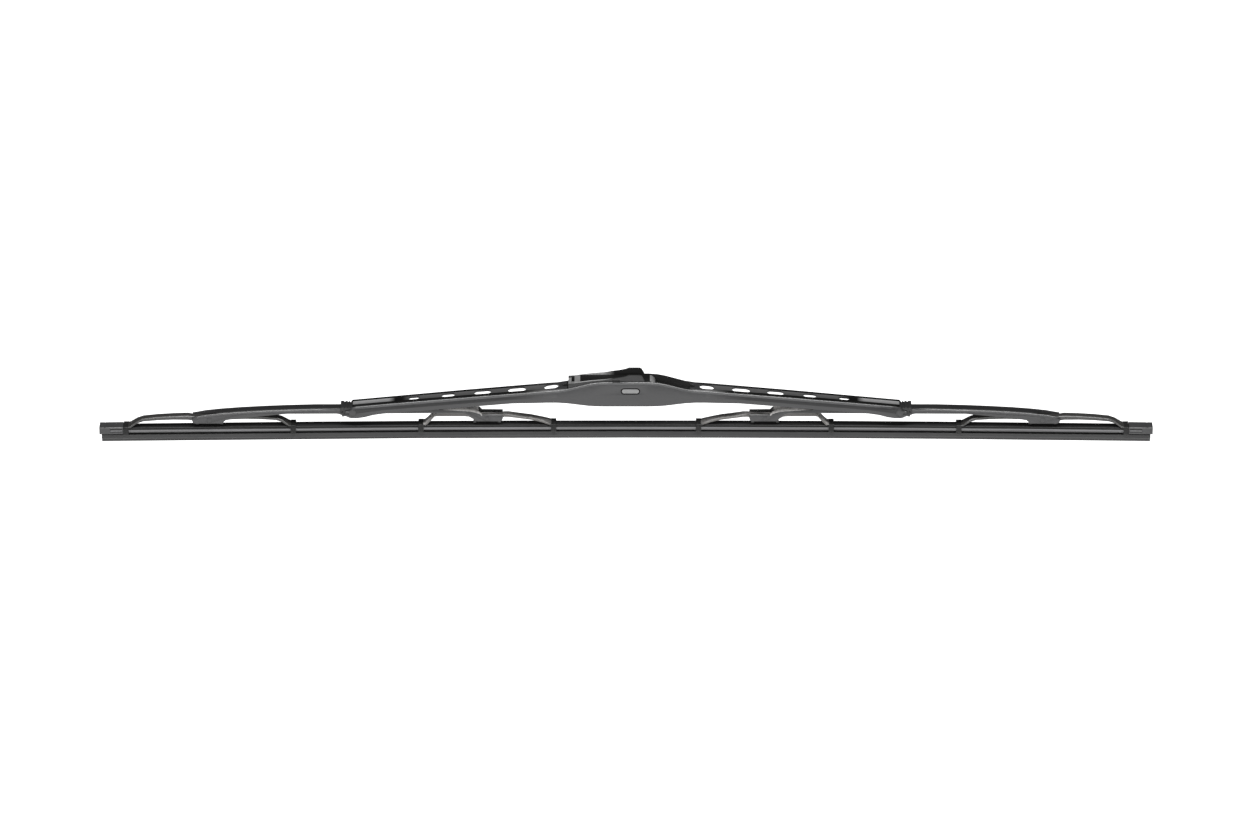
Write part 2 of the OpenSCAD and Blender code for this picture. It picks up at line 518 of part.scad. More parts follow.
// End cap: clips round the head, with a window in each side and a closed outer end
module end_cap() {
  clear = 0.06;
  in_w = head_w / 2 + clear;
  out_w = in_w + cap_t;
  mid = strip_top(cap_x + cap_l / 2);
  slope = atan(2 * bow * (cap_x + cap_l / 2) / pow(claw_x, 2));
  lip = neck_w / 2 + 0.9;
  edge = 0.35;
  translate([cap_x + cap_l / 2, 0, up(mid)]) rotate([0, slope, 0]) difference() {
    translate([-cap_l / 2, 0, 0]) rotate([90, 0, 90]) linear_extrude(cap_l)
      polygon([[-out_w, -head_h - clear - cap_t + edge], [-out_w + edge, -head_h - clear - cap_t],
               [out_w - edge, -head_h - clear - cap_t], [out_w, -head_h - clear - cap_t + edge],
               [out_w, clear + cap_t - edge], [out_w - edge, clear + cap_t],
               [-out_w + edge, clear + cap_t], [-out_w, clear + cap_t - edge]]);
    // room for the head and the neck
    translate([-cap_l / 2 - 1, 0, 0]) rotate([90, 0, 90]) linear_extrude(cap_l - cap_end_t + 1)
      polygon([[-in_w, -head_h - clear], [-lip, -head_h - clear], [-lip, -head_h - 3], [lip, -head_h - 3],
               [lip, -head_h - clear], [in_w, -head_h - clear], [in_w, clear], [-in_w, clear]]);
    // windows that show the rails
    translate([-2.8, 0, -1.5]) cube([7.2, 2 * out_w + 2, 2.1], center = true);
    // grip step on the top
    translate([cap_l / 2 - 3.2, 0, clear + cap_t]) cube([1.0, 2 * out_w + 2, 0.3], center = true);
  }
}
module end_cap_left() color(plastic_black) mirror([1, 0, 0]) end_cap();
module end_cap_right() color(plastic_black) end_cap();

// Arm adapter: a core that the arm's hook wraps, between two cheeks that turn on the pin
adapter_w = box_w - 2 * bridge_t - 2 * adapter_gap;
cheek_t = (adapter_w - hook_w) / 2;
nose_r = core_h / 2;
cheek_low = -core_h - 1.2;
tail_x = 29.8;
module cheek_outline() {
  polygon([[-tail_reach, -5.7], [-tail_reach, -1.0], [-tail_x, -0.75], [-21, 0.5], [-12, 1.3], [-8, 2.0], [-3, 2.7], [0, 3.4],
           [1.6, ear_h], [7.8, ear_h], [9.0, ear_h - 0.6], [10.5, 1.0], [10.7, -0.9], [10.6, -3.2], [9.4, -6.4],
           [6.0, cheek_low + 0.6], [4.4, cheek_low], [-4.4, cheek_low], [-8, -core_h], [-24, -core_h + 0.4],
           [-tail_reach + 1.6, -6.8]]);
}
module core_outline() {
  translate([nose_reach - nose_r, -nose_r]) circle(r = nose_r);
  translate([-26.5, -core_h]) square([26.5 + nose_reach - nose_r, core_h]);
}
module arm_adapter() {
  color(plastic_black) translate([0, 0, 0]) difference() {
    union() {
      for (side = [-1, 1]) translate([0, side > 0 ? adapter_w / 2 : -adapter_w / 2 + cheek_t, 0])
        rotate([90, 0, 0]) linear_extrude(cheek_t) cheek_outline();
      translate([0, hook_w / 2 + eps, 0]) rotate([90, 0, 0]) linear_extrude(hook_w + 2 * eps) core_outline();
      // cross wall at the tail, and a lower finger bar behind it
      translate([0, hook_w / 2 + eps, 0]) rotate([90, 0, 0]) linear_extrude(hook_w + 2 * eps)
        polygon([[-26.0, -core_h + 0.7], [-26.0, -0.4], [-tail_x, -0.75], [-tail_x, -4.2], [-tail_x - 1.8, -4.4],
                 [-tail_x - 1.8, -1.7], [-tail_reach, -2.0], [-tail_reach, -5.6], [-tail_reach + 1.6, -6.7]]);
    }
    across(0, pin_h, pin_r + rivet_gap, box_w);
    // the core is cored out from below on both sides of the pin
    translate([-15.4, 0, -core_h]) cube([15, hook_w - 3, 2 * core_h - 4], center = true);
    // blind slit in each cheek beside its ear
    for (side = [-1, 1]) translate([-5.8, side * adapter_w / 2, 0.65]) cube([4.8, 1.5, 1.0], center = true);
    // hollow for the catch that clicks into the hook
    translate([9.4, 0, -core_h]) cube([4.2, 4.4, 2 * core_h - 5], center = true);
  }
}
module adapter_pin() color(rail_steel) across(0, pin_h, pin_r, pin_l - 0.1);

arm_adapter();
adapter_pin();
primary_bridge();
lever_rivet_left();
lever_rivet_right();
lever_liner_left();
lever_liner_right();
lever_left();
lever_right();
yoke_rivet_outer_left();
yoke_rivet_inner_left();
yoke_rivet_inner_right();
yoke_rivet_outer_right();
yoke_liner_outer_left();
yoke_liner_inner_left();
yoke_liner_inner_right();
yoke_liner_outer_right();
yoke_outer_left();
yoke_inner_left();
yoke_inner_right();
yoke_outer_right();
rubber_element();
rail_front();
rail_rear();
end_cap_left();
end_cap_right();
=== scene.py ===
import math

import bpy
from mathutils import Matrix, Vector


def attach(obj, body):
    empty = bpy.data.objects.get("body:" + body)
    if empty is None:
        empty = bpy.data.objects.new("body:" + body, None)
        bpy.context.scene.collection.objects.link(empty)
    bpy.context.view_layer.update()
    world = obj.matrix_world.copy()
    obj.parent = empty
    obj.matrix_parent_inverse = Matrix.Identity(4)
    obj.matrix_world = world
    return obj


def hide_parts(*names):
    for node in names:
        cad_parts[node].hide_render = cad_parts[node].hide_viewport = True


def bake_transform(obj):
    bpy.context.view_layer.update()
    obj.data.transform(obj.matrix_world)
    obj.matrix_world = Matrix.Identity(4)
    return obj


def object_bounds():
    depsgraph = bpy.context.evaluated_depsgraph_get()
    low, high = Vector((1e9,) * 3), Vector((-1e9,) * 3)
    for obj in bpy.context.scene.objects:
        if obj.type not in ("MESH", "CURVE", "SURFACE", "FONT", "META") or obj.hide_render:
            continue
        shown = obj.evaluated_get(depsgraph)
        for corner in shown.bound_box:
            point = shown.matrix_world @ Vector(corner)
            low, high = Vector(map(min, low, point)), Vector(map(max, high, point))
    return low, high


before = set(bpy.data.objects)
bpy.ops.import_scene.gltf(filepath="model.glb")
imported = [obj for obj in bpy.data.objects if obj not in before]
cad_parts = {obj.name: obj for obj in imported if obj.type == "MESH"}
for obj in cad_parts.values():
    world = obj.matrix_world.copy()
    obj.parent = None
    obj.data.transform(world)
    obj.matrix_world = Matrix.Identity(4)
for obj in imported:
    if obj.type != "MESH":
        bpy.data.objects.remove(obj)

cadBox = [list(corner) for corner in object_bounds()]
mm = 0.001

# camera and light

camera = {
    "aim": (-1.2 * mm, 0.0, -24.1 * mm),
    "elevation": 24.0,
    "distance": 4.6,
    "width": 723.8 * mm,  # how much of the blade's length the picture spans
    "sensor": 36.0,
    "clipEnd": 50.0,
}


def addCamera():
    tilt = math.radians(camera["elevation"])
    aim = Vector(camera["aim"])
    place = aim + Vector((0, -math.cos(tilt), math.sin(tilt))) * camera["distance"]
    bpy.ops.object.camera_add(location=place, rotation=(math.pi / 2 - tilt, 0, 0))
    eye = bpy.context.active_object
    eye.name = "photoCamera"
    eye.data.sensor_width = camera["sensor"]
    eye.data.lens = camera["sensor"] * camera["distance"] / camera["width"]
    eye.data.clip_end = camera["clipEnd"]
    bpy.context.scene.camera = eye


softboxes = {
    "high": {"place": (0.1, -1.0, 2.0), "size": (2.2, 0.5), "power": 84},
    "low": {"place": (-0.2, -2.6, 0.9), "size": (2.4, 0.5), "power": 34},
    "over": {"place": (0.0, -0.1, 2.9), "size": (2.6, 0.6), "power": 34},
}
studio = {"aim": (0, 0, -0.03), "grey": (0.06, 0.06, 0.06, 1)}


def addLights():
    for name, lamp in softboxes.items():
        place = Vector(lamp["place"])
        turn = (Vector(studio["aim"]) - place).to_track_quat("-Z", "Y").to_euler()
        bpy.ops.object.light_add(type="AREA", location=place, rotation=turn)
        light = bpy.context.active_object
        light.name = name + "Softbox"
        light.data.shape = "RECTANGLE"
        light.data.size, light.data.size_y = lamp["size"]
        light.data.energy = lamp["power"]
    world = bpy.data.worlds.new("studioGrey")
    world.use_nodes = True
    world.node_tree.nodes["Background"].inputs["Color"].default_value = studio["grey"]
    bpy.context.scene.world = world
    bpy.context.scene.view_settings.view_transform = "Standard"


# node helpers

noiseSpan = (0.3, 0.7)  # nearly all of a noise lies between these


def newMaterial(name):
    material = bpy.data.materials.new(name)
    material.use_nodes = True
    return material, material.node_tree, material.node_tree.nodes["Principled BSDF"]


def newGroup(name, inputs, outputs):
    group = bpy.data.node_groups.new(name, "ShaderNodeTree")
    for way, sockets in (("INPUT", inputs), ("OUTPUT", outputs)):
        for label, kind in sockets.items():
            group.interface.new_socket(label, in_out=way, socket_type=kind)
    return group, group.nodes.new("NodeGroupInput"), group.nodes.new("NodeGroupOutput")


def feed(tree, socket, value):
    # an output is linked, anything else is set
    if isinstance(value, bpy.types.NodeSocket):
        tree.links.new(value, socket)
    else:
        socket.default_value = value


def objectCoords(tree):
    return tree.nodes.new("ShaderNodeTexCoord").outputs["Object"]


def addNoise(tree, coords, grain):
    # grain has a scale and a detail, and a stretch where it isn't the same all ways
    noise = tree.nodes.new("ShaderNodeTexNoise")
    noise.inputs["Scale"].default_value = grain["scale"]
    noise.inputs["Detail"].default_value = grain["detail"]
    if "stretch" in grain:
        mapping = tree.nodes.new("ShaderNodeMapping")
        mapping.inputs["Scale"].default_value = grain["stretch"]
        tree.links.new(coords, mapping.inputs["Vector"])
        coords = mapping.outputs["Vector"]
    tree.links.new(coords, noise.inputs["Vector"])
    return noise.outputs["Fac"]


def spread(tree, value, low, high):
    # a noise drawn out to run from low to high
    remap = tree.nodes.new("ShaderNodeMapRange")
    for label, bound in zip(("From Min", "From Max", "To Min", "To Max"), (*noiseSpan, low, high)):
        remap.inputs[label].default_value = bound
    tree.links.new(value, remap.inputs["Value"])
    return remap.outputs["Result"]


def addMath(tree, operation, *values):
    node = tree.nodes.new("ShaderNodeMath")
    node.operation = operation
    for socket, value in zip(node.inputs, values):
        feed(tree, socket, value)
    return node.outputs[0]


def mixColours(tree, factor, first, second, mode="MIX"):
    # several of a Mix node's sockets share a name, so the colour ones go by number
    mix = tree.nodes.new("ShaderNodeMix")
    mix.data_type = "RGBA"
    mix.blend_type = mode
    for number, value in ((0, factor), (6, first), (7, second)):
        feed(tree, mix.inputs[number], value)
    return mix.outputs[2]


# finishes

paint = {
    "cloud": {"scale": 60, "detail": 4, "stretch": (0.4, 1, 1)},
    "cloudGrey": (0.05, 0.05, 0.05, 1),
    "cloudShare": 0.12,
    "peel": {"scale": 2600, "detail": 2},
    "peelDepth": 0.1 * mm,
    "dust": {"scale": 900, "detail": 5},
    "dustRoughness": (-0.03, 0.07),  # what clean and dusty spots add to the roughness
}


def makePaintGroup():
    # coated sheet, plastic and rubber: a cloudy tone, a fine orange peel, and specks of dust
    group, put, out = newGroup(
        "coatedSheet",
        {"Colour": "NodeSocketColor", "Dusty": "NodeSocketColor", "Roughness": "NodeSocketFloat",
         "Dust": "NodeSocketFloat"},
        {"Colour": "NodeSocketColor", "Roughness": "NodeSocketFloat", "Height": "NodeSocketFloat"})
    coords = objectCoords(group)
    cloud = spread(group, addNoise(group, coords, paint["cloud"]), 0, 1)
    share = addMath(group, "MULTIPLY", cloud, paint["cloudShare"])
    tinted = mixColours(group, share, put.outputs["Colour"], paint["cloudGrey"], "ADD")
    specks = spread(group, addNoise(group, coords, paint["dust"]), 0, 1)
    dust = addMath(group, "MULTIPLY", specks, put.outputs["Dust"])
    rougher = spread(group, specks, *paint["dustRoughness"])
    feed(group, out.inputs["Colour"], mixColours(group, dust, tinted, put.outputs["Dusty"]))
    feed(group, out.inputs["Roughness"], addMath(group, "ADD", put.outputs["Roughness"], rougher))
    feed(group, out.inputs["Height"], addNoise(group, coords, paint["peel"]))
    return group


# colour and dusty are the clean and the dusty colour; along and down are bands of painted light and
# shade, lighter and darker tone, each a place in millimetres and its tone: out from mid-length, or down
# the strip
finishes = {
    "bridgeCoat": {"colour": (0.012, 0.012, 0.013, 1), "dusty": (0.04, 0.04, 0.04, 1),
                   "roughness": 0.36, "dust": 0.15, "bump": 0.05, "specular": 0.55},
    "leverCoat": {"colour": (0.012, 0.012, 0.013, 1), "dusty": (0.04, 0.04, 0.04, 1),
                  "roughness": 0.34, "dust": 0.15, "bump": 0.05, "specular": 0.55},
    "yokeCoat": {"colour": (0.015, 0.0145, 0.014, 1), "dusty": (0.05, 0.048, 0.046, 1),
                 "roughness": 0.34, "dust": 0.15, "bump": 0.05, "specular": 0.55},
    "innerYokeCoat": {"colour": (0.05, 0.047, 0.044, 1), "dusty": (0.1, 0.095, 0.09, 1),
                      "roughness": 0.34, "dust": 0.3, "bump": 0.05, "specular": 0.6},
    "rivetCoat": {"colour": (0.012, 0.012, 0.013, 1), "dusty": (0.05, 0.05, 0.05, 1),
                  "roughness": 0.32, "dust": 0.2, "bump": 0.05, "specular": 0.5},
    # painted reflection: the recess floor lighter than the coat, with painted shade about 130 mm out and
    # a brighter painted highlight beyond
    "recessCoat": {"colour": (0.07, 0.07, 0.071, 1), "dusty": (0.12, 0.12, 0.12, 1),
                   "roughness": 0.42, "dust": 0.35, "bump": 0.05, "specular": 0.35,
                   "along": [(0, 0.6), (124, 0.6), (129.5, 0.05), (134, 0.05), (137.5, 1.8), (160, 1.8)]},
    # painted shade: the arms' rims near black, easing toward the coat's tone near the box
    "rimCoat": {"colour": (0.001, 0.001, 0.001, 1), "dusty": (0.006, 0.006, 0.006, 1),
                "roughness": 0.5, "dust": 0.1, "bump": 0.05, "specular": 0.04,
                "along": [(44, 12.0), (60, 1.0)]},
    # painted shade: the arms' outer walls darker and less shiny than the coat, blending in near the box
    "armWallCoat": {"colour": (0.008, 0.008, 0.0085, 1), "dusty": (0.03, 0.03, 0.03, 1),
                    "roughness": 0.34, "dust": 0.15, "bump": 0.05, "specular": 0.3,
                    "along": [(46, 1.8), (70, 1.0)]},
    # painted shade in the seams beside the recess and in the oval panel's groove
    "seamCoat": {"colour": (0.001, 0.001, 0.001, 1), "dusty": (0.004, 0.004, 0.004, 1),
                 "roughness": 0.6, "dust": 0.1, "bump": 0.05, "specular": 0.03},
    "ovalCoat": {"colour": (0.12, 0.12, 0.12, 1), "dusty": (0.2, 0.2, 0.2, 1),
                 "roughness": 0.4, "dust": 0.35, "bump": 0.05, "specular": 0.6},
    # painted shade: the levers' tops darker and less shiny than their walls
    "backCoat": {"colour": (0.007, 0.007, 0.0075, 1), "dusty": (0.02, 0.02, 0.02, 1),
                 "roughness": 0.34, "dust": 0.15, "bump": 0.05, "specular": 0.3},
    # painted shade: the yokes' claws down by the strip darker and duller than the yoke
    "clawCoat": {"colour": (0.005, 0.005, 0.005, 1), "dusty": (0.03, 0.03, 0.03, 1),
                 "roughness": 0.3, "dust": 0.25, "bump": 0.05, "specular": 0.16},
    # painted shade inside the adapter's hollow
    "adapterInside": {"colour": (0.003, 0.003, 0.003, 1), "dusty": (0.01, 0.01, 0.01, 1),
                      "roughness": 0.5, "dust": 0.15, "bump": 0.1, "specular": 0.1},
    # painted highlight on the adapter's tail top and on its nose
    "adapterHighlight": {"colour": (0.12, 0.12, 0.12, 1), "dusty": (0.2, 0.2, 0.2, 1),
                      "roughness": 0.45, "dust": 0.4, "bump": 0.1, "specular": 0.5},
    # painted highlight along the rear cheek's top and inner side, fading out near mid-length
    "adapterRim": {"colour": (0.15, 0.15, 0.15, 1), "dusty": (0.34, 0.34, 0.34, 1),
                   "roughness": 0.5, "dust": 0.6, "bump": 0.15, "specular": 0.4,
                   "along": [(6.5, 0.03), (14, 1.0), (30, 1.0)]},
    # painted shade on the bridge's inner walls
    "insideCoat": {"colour": (0.004, 0.004, 0.004, 1), "dusty": (0.012, 0.012, 0.012, 1),
                   "roughness": 0.5, "dust": 0.15, "bump": 0.05, "specular": 0.12},
    # painted highlight on the inner yokes' upward faces, in bands along the blade
    "innerYokeTop": {"colour": (0.18, 0.175, 0.17, 1), "dusty": (0.5, 0.49, 0.48, 1),
                     "roughness": 0.45, "dust": 0.6, "bump": 0.15, "specular": 0.5,
                     "along": [(0, 0.3), (62, 0.3), (74, 1.2), (94, 1.0), (112, 1.0), (124, 0.5)]},
    "adapterPlastic": {"colour": (0.006, 0.006, 0.0065, 1), "dusty": (0.02, 0.02, 0.02, 1),
                       "roughness": 0.42, "dust": 0.15, "bump": 0.1, "specular": 0.45},
    "linerPlastic": {"colour": (0.007, 0.007, 0.0075, 1), "dusty": (0.02, 0.02, 0.02, 1),
                     "roughness": 0.45, "dust": 0.2, "bump": 0.1, "specular": 0.4},
    "capPlastic": {"colour": (0.02, 0.02, 0.021, 1), "dusty": (0.05, 0.05, 0.05, 1),
                   "roughness": 0.45, "dust": 0.2, "bump": 0.1, "specular": 0.45},
    # down bands: painted shade on the head side's upper part and a painted highlight on its lower part
    "stripRubber": {"colour": (0.007, 0.007, 0.0075, 1), "dusty": (0.03, 0.03, 0.03, 1),
                    "roughness": 0.5, "dust": 0.25, "bump": 0.08, "specular": 0.45,
                    "down": [(0, 0.9), (0.5, 0.2), (0.95, 0.3), (1.3, 1.3), (2.2, 2.2), (3.4, 2.2),
                             (4.2, 1.05), (9.0, 0.95)]},
}
# the same painted highlight on the lever's top beside the inner yoke, fading out under the bridge
finishes["leverTop"] = dict(finishes["innerYokeTop"],
                            along=[(60, 1.0), (97, 1.0), (108, 0.07), (120, 0.07)])

# the strip's bow in millimetres: its top at mid-length, and how much lower that is at the reach
bow = {"top": -28.15, "drop": 2.0, "reach": 290.0}


def placeOn(tree, way):
    # millimetres out from mid-length, or down from the strip's top
    split = tree.nodes.new("ShaderNodeSeparateXYZ")
    tree.links.new(objectCoords(tree), split.inputs[0])
    along = addMath(tree, "DIVIDE", split.outputs["X"], mm)
    if way == "along":
        return addMath(tree, "ABSOLUTE", along)
    share = addMath(tree, "DIVIDE", along, bow["reach"])
    dropped = addMath(tree, "MULTIPLY", addMath(tree, "MULTIPLY", share, share), bow["drop"])
    height = addMath(tree, "DIVIDE", split.outputs["Z"], mm)
    return addMath(tree, "SUBTRACT", addMath(tree, "SUBTRACT", bow["top"], dropped), height)


def toneBy(tree, place, stops):
    reach, top = stops[-1][0], max(tone for spot, tone in stops)
    ramp = tree.nodes.new("ShaderNodeValToRGB")
    tree.links.new(addMath(tree, "DIVIDE", place, reach), ramp.inputs["Fac"])
    marks = ramp.color_ramp.elements
    while len(marks) < len(stops):
        marks.new(0.5)  # anywhere, as each gets its position below
    for mark, (spot, tone) in zip(marks, stops):
        mark.position = spot / reach
        mark.color = (tone / top, tone / top, tone / top, 1)
    return addMath(tree, "MULTIPLY", ramp.outputs["Color"], top)


def makeCoat(name, group):
    finish = finishes[name]
    material, tree, shader = newMaterial(name)
    coat = tree.nodes.new("ShaderNodeGroup")
    coat.node_tree = group
    for label in ("Colour", "Dusty", "Roughness", "Dust"):
        coat.inputs[label].default_value = finish[label.lower()]
    bump = tree.nodes.new("ShaderNodeBump")
    bump.inputs["Strength"].default_value = finish["bump"]
    bump.inputs["Distance"].default_value = paint["peelDepth"]
    specular = shader.inputs["Specular IOR Level"]
    specular.default_value = finish["specular"]
    colour = coat.outputs["Colour"]
    # the bands paint light and shade into both the colour and the shine
    for way in ("along", "down"):
        if way in finish:
            tone = toneBy(tree, placeOn(tree, way), finish[way])
            colour = mixColours(tree, 1.0, colour, tone, "MULTIPLY")
            feed(tree, specular, addMath(tree, "MULTIPLY", tone, finish["specular"]))
    feed(tree, shader.inputs["Base Color"], colour)
    feed(tree, shader.inputs["Roughness"], coat.outputs["Roughness"])
    feed(tree, bump.inputs["Height"], coat.outputs["Height"])
    feed(tree, shader.inputs["Normal"], bump.outputs["Normal"])
    return material


rolledSteel = {
    "streaks": {"scale": 900, "detail": 4, "stretch": (0.02, 1, 1)},
    "colours": ((0.11, 0.11, 0.11, 1), (0.18, 0.18, 0.185, 1)),
    "roughness": (0.45, 0.6),
    "metallic": 0.85,
}


def makeRolledSteel():
    # strip steel with streaks along the blade
    material, tree, shader = newMaterial("rolledSteel")
    streaks = spread(tree, addNoise(tree, objectCoords(tree), rolledSteel["streaks"]), 0, 1)
    feed(tree, shader.inputs["Base Color"], mixColours(tree, streaks, *rolledSteel["colours"]))
    feed(tree, shader.inputs["Roughness"], spread(tree, streaks, *rolledSteel["roughness"]))
    shader.inputs["Metallic"].default_value = rolledSteel["metallic"]
    return material


# modelling helpers

meshing = {
    "merge": 0.002 * mm,  # points this near are one
    "flat": math.radians(0.3),  # faces this near to one plane are joined
    "cut": 0.0005 * mm,
    "corner": math.radians(50),  # edges sharper than this are rounded
    "cornerSteps": 2,
}


def selectOnly(obj):
    if bpy.context.object and bpy.context.object.mode != "OBJECT":
        bpy.ops.object.mode_set(mode="OBJECT")
    bpy.ops.object.select_all(action="DESELECT")
    obj.hide_set(False)
    obj.select_set(True)
    bpy.context.view_layer.objects.active = obj


def mergedCopy(nodeName, name):
    # a copy of a CAD node with its loose triangles joined
    copy = bpy.data.objects.new(name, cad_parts[nodeName].data.copy())
    bpy.context.collection.objects.link(copy)
    copy.data.name = name
    for face in copy.data.polygons:
        face.material_index = 0
    selectOnly(copy)
    bpy.ops.object.mode_set(mode="EDIT")
    bpy.ops.mesh.select_all(action="SELECT")
    bpy.ops.mesh.remove_doubles(threshold=meshing["merge"])
    bpy.ops.mesh.dissolve_limited(angle_limit=meshing["flat"])
    bpy.ops.object.mode_set(mode="OBJECT")
    if copy.data.has_custom_normals:
        bpy.ops.mesh.customdata_custom_splitnormals_clear()
    return copy


def finishEdges(obj, bevel, smooth):
    selectOnly(obj)
    rounding = obj.modifiers.new("edges", "BEVEL")
    rounding.width = bevel * mm
    rounding.segments = meshing["cornerSteps"]
    rounding.limit_method = "ANGLE"
    rounding.angle_limit = meshing["corner"]
    rounding.use_clamp_overlap = True
    bpy.ops.object.modifier_apply(modifier=rounding.name)
    bpy.ops.object.shade_smooth_by_angle(angle=math.radians(smooth))


def cutAt(place, keep=None):
    # a cut across the blade; keep is the side that stays, and closes the end
    bpy.ops.mesh.select_all(action="SELECT")
    bpy.ops.mesh.bisect(plane_co=(place * mm, 0, 0), plane_no=(1, 0, 0), use_fill=keep is not None,
                        clear_inner=keep == "above", clear_outer=keep == "below",
                        threshold=meshing["cut"])


def setMaterial(obj, material):
    obj.data.materials.clear()
    obj.data.materials.append(material)


# rigid pieces: bevel is in millimetres, and edges up to the smooth angle shade smooth

pieces = {
    "primary_bridge": {"name": "bridgeSheet", "body": "bridge", "finish": "bridgeCoat",
                       "slot": "bridge_steel", "bevel": 0.16, "smooth": 50},
    "adapter_pin": {"name": "adapterPin", "body": "bridge", "finish": "rolledSteel",
                    "slot": "pin_steel", "bevel": 0.15, "smooth": 40},
    "arm_adapter": {"name": "armAdapter", "body": "adapter", "finish": "adapterPlastic",
                    "slot": "adapter_plastic", "bevel": 0.25, "smooth": 40},
    "lever_left": {"name": "leverLeft", "body": "lever_left", "finish": "leverCoat",
                   "slot": "lever_steel", "bevel": 0.14, "smooth": 50},
    "lever_right": {"name": "leverRight", "body": "lever_right", "finish": "leverCoat",
                    "slot": "lever_steel", "bevel": 0.14, "smooth": 50},
    "lever_liner_left": {"name": "leverLinerLeft", "body": "lever_left", "finish": "linerPlastic",
                         "slot": "liner_plastic", "bevel": 0.1, "smooth": 40},
    "lever_liner_right": {"name": "leverLinerRight", "body": "lever_right", "finish": "linerPlastic",
                          "slot": "liner_plastic", "bevel": 0.1, "smooth": 40},
    "lever_rivet_left": {"name": "leverRivetLeft", "body": "bridge", "finish": "rivetCoat",
                         "slot": "rivet_steel", "bevel": 0.08, "smooth": 40},
    "lever_rivet_right": {"name": "leverRivetRight", "body": "bridge", "finish": "rivetCoat",
                          "slot": "rivet_steel", "bevel": 0.08, "smooth": 40},
    "end_cap_left": {"name": "endCapLeft", "body": "yoke_outer_left", "finish": "capPlastic",
                     "slot": "cap_plastic", "bevel": 0.12, "smooth": 40},
    "end_cap_right": {"name": "endCapRight", "body": "yoke_outer_right", "finish": "capPlastic",
                      "slot": "cap_plastic", "bevel": 0.12, "smooth": 40},
}
for place, sheetCoat in (("outer", "yokeCoat"), ("inner", "innerYokeCoat")):
    for side in ("left", "right"):
        which, title = f"{place}_{side}", place.capitalize() + side.capitalize()
        pieces["yoke_" + which] = {
            "name": "yoke" + title, "body": "yoke_" + which, "finish": sheetCoat,
            "slot": "yoke_steel", "bevel": 0.12, "smooth": 50}
        pieces["yoke_liner_" + which] = {
            "name": "yokeLiner" + title, "body": "yoke_" + which, "finish": "linerPlastic",
            "slot": "liner_plastic", "bevel": 0.08, "smooth": 40}
        pieces["yoke_rivet_" + which] = {
            "name": "yokeRivet" + title, "body": "lever_" + side, "finish": "rivetCoat",
            "slot": "rivet_steel", "bevel": 0.06, "smooth": 40}


# faces with a finish of their own, mostly painted shade or painted highlight, told by the box they
# fill, low to high in millimetres, and by the way they look: z is up, and outwards is away from the
# plane through the blade's middle


def nearest(low, high):
    # how near the face comes to the middle plane
    return min(abs(low.y), abs(high.y))


def farthest(low, high):
    return max(-low.y, high.y)


def fromMidLength(low, high):
    return abs(low.x + high.x) / 2


def lookOutwards(low, high, look):
    return look.y * math.copysign(1, low.y + high.y)


# the panel's middle and half sizes, and how far out its groove's floor and its face lie
oval = {"x": 2.5, "z": -5.4, "half": (5.65, 2.0), "floor": 6.7, "face": 7.05}

bridgeFaces = {
    "flat": 0.9,
    "recessWide": 3.6,
    "arm": 46.0,  # where the box ends and the arm begins
    "seam": {"up": 0.2, "inwards": 0.3, "from": 2.0, "to": 4.4},
    "rim": {"up": 0.75, "outside": 2.4},
    "inside": {"inwards": 0.5, "outside": 4.5},
    "wall": {"outwards": 0.95, "tilt": 0.015},
}


def inOval(low, high):
    return (abs(low.x + high.x - 2 * oval["x"]) / 2 + (high.x - low.x) / 2 < oval["half"][0]
            and abs(low.z + high.z - 2 * oval["z"]) / 2 + (high.z - low.z) / 2 < oval["half"][1]
            and nearest(low, high) > oval["floor"])


def bridgeZone(low, high, look):
    near, far, out = nearest(low, high), farthest(low, high), lookOutwards(low, high, look)
    seam, rim, inside, wall = (bridgeFaces[zone] for zone in ("seam", "rim", "inside", "wall"))
    onArm = fromMidLength(low, high) > bridgeFaces["arm"]
    # in the oval panel the face gets the lighter oval finish and the groove painted shade
    if inOval(low, high):
        return "ovalCoat" if near > oval["face"] and abs(look.y) > bridgeFaces["flat"] else "seamCoat"
    if look.z > bridgeFaces["flat"] and far < bridgeFaces["recessWide"]:
        return "recessCoat"
    if look.z > seam["up"] and out < -seam["inwards"] and seam["from"] < far < seam["to"]:
        return "seamCoat"
    if look.z > rim["up"] and onArm and near > rim["outside"]:
        return "rimCoat"
    if out < -inside["inwards"] and near > inside["outside"]:
        return "insideCoat"
    if out > wall["outwards"] and abs(look.z) < wall["tilt"] and onArm:
        return "armWallCoat"
    return None


adapterFaces = {
    "up": 0.6,
    "flat": 0.9,
    "tail": -25.5,
    "rim": {"outside": 4.6, "to": -7.5},
    "nose": {"from": 13.5, "look": 0.2},
    "hollow": {"below": 0.3, "wide": 4.8},
}


def adapterZone(low, high, look):
    # painted highlight on the tail's top, the rear rim and the nose; painted shade in the hollow
    rim, nose, hollow = (adapterFaces[zone] for zone in ("rim", "nose", "hollow"))
    middle = (low + high) / 2
    if look.z > adapterFaces["up"] and high.x < adapterFaces["tail"]:
        return "adapterHighlight"
    if look.z > adapterFaces["up"] and nearest(low, high) > rim["outside"] and middle.x < rim["to"]:
        return "adapterRim"
    if middle.x > nose["from"] and look.x > nose["look"] and look.z > nose["look"]:
        return "adapterHighlight"
    inHollow = high.z < hollow["below"] and farthest(low, high) < hollow["wide"]
    if look.z > adapterFaces["flat"] and inHollow:
        return "adapterInside"
    if lookOutwards(low, high, look) < -adapterFaces["flat"] and abs(middle.y) < hollow["wide"]:
        return "adapterInside"
    return None


leverFaces = {"highlightFrom": 84, "highlightTo": 109, "highlightUp": 0.3, "backUp": 0.85}


